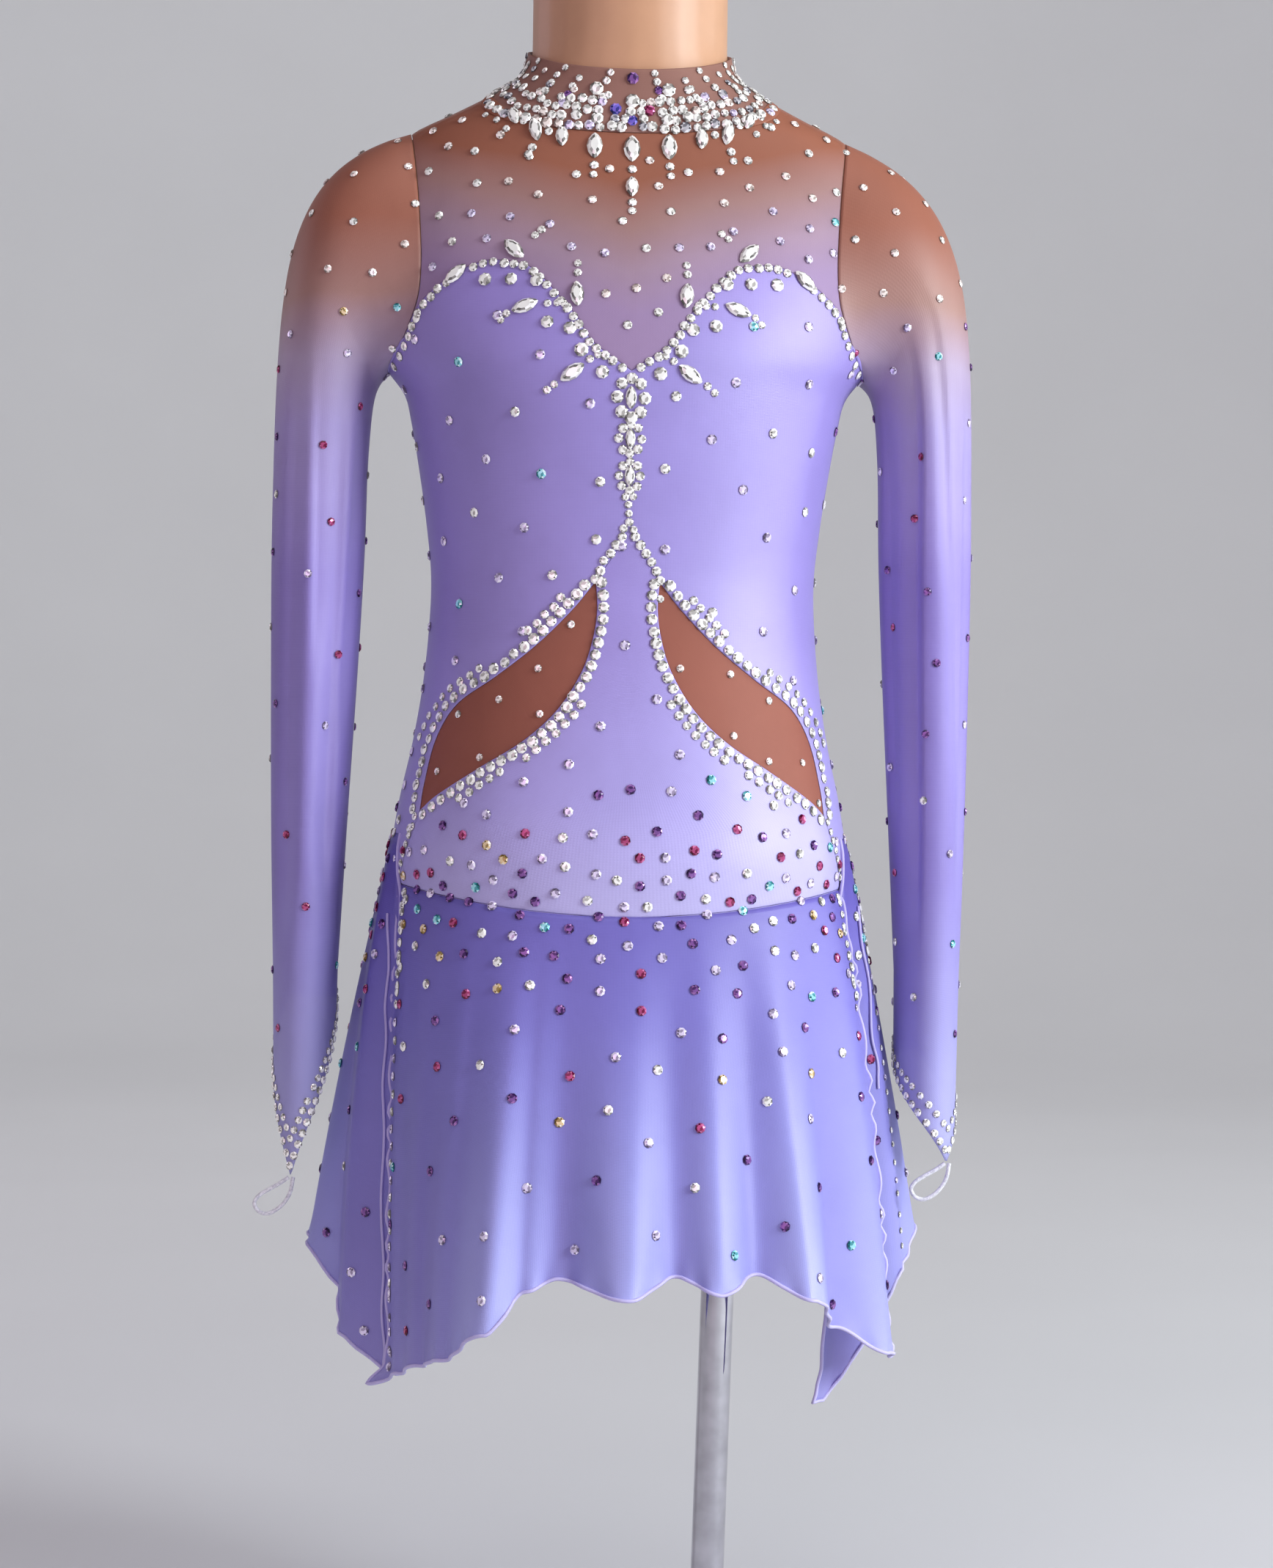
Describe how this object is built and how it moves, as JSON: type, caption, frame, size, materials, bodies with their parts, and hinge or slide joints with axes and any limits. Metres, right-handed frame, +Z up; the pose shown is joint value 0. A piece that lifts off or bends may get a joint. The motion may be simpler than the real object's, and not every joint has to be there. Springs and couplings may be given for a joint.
{
  "type": "figure skating dress on a limbless dress form",
  "caption": "Long-sleeved figure skating dress with a sheer yoke, stoned sweetheart bodice, leaf cut-outs and slit skirt, worn by a limbless dress form on a pole and round base.",
  "frame": {"origin": "centre of the base plate's underside, under the figure's axis", "axes": "+Z up, the dress faces -Y, +X towards the wearer's left"},
  "size_m": [0.3841, 0.2955, 0.922],
  "materials": {
    "satin": "soft satin stretch",
    "skirt_cloth": "soft matt stretch mesh",
    "sleeve_mesh": "sheer mesh, nude at the shoulder to lavender at the wrist",
    "yoke_mesh": "sheer mesh, nude to lavender",
    "nude_mesh": "sheer mesh",
    "elastic": "matt elastic",
    "crystal": "cut and foiled",
    "form_skin": "smooth satin",
    "chrome": "polished",
    "base_steel": "brushed"
  },
  "bodies": {
    "root": {"base_plate": "base_steel", "pole_socket": "chrome", "pole": "chrome", "dress_form": "form_skin", "collar": "nude_mesh", "yoke_front": "yoke_mesh", "yoke_back_left": "yoke_mesh", "yoke_back_right": "yoke_mesh", "bodice_front": "satin", "front_panel": "satin", "bodice_back_left": "satin", "bodice_back_right": "satin", "brief_front": "satin", "brief_back": "satin", "inset_left": "nude_mesh", "inset_right": "nude_mesh", "sleeve_left": "sleeve_mesh", "sleeve_right": "sleeve_mesh", "skirt_front": "skirt_cloth", "skirt_back": "skirt_cloth", "finger_loop_left": "elastic", "finger_loop_right": "elastic", "bust_stone_left_1": "crystal", "bust_stone_left_2": "crystal", "bust_stone_left_3": "crystal", "bust_stone_left_4": "crystal", "bust_stone_left_5": "crystal", "collar_stone_left_1": "crystal", "collar_stone_left_2": "crystal", "collar_stone_left_3": "crystal", "collar_stone_left_4": "crystal", "bust_stone_right_1": "crystal", "bust_stone_right_2": "crystal", "bust_stone_right_3": "crystal", "bust_stone_right_4": "crystal", "bust_stone_right_5": "crystal", "collar_stone_right_1": "crystal", "collar_stone_right_2": "crystal", "collar_stone_right_3": "crystal", "collar_stone_right_4": "crystal", "centre_stone_1": "crystal", "centre_stone_2": "crystal", "centre_stone_3": "crystal", "centre_stone_4": "crystal", "centre_stone_5": "crystal"}
  },
  "joints": []
}
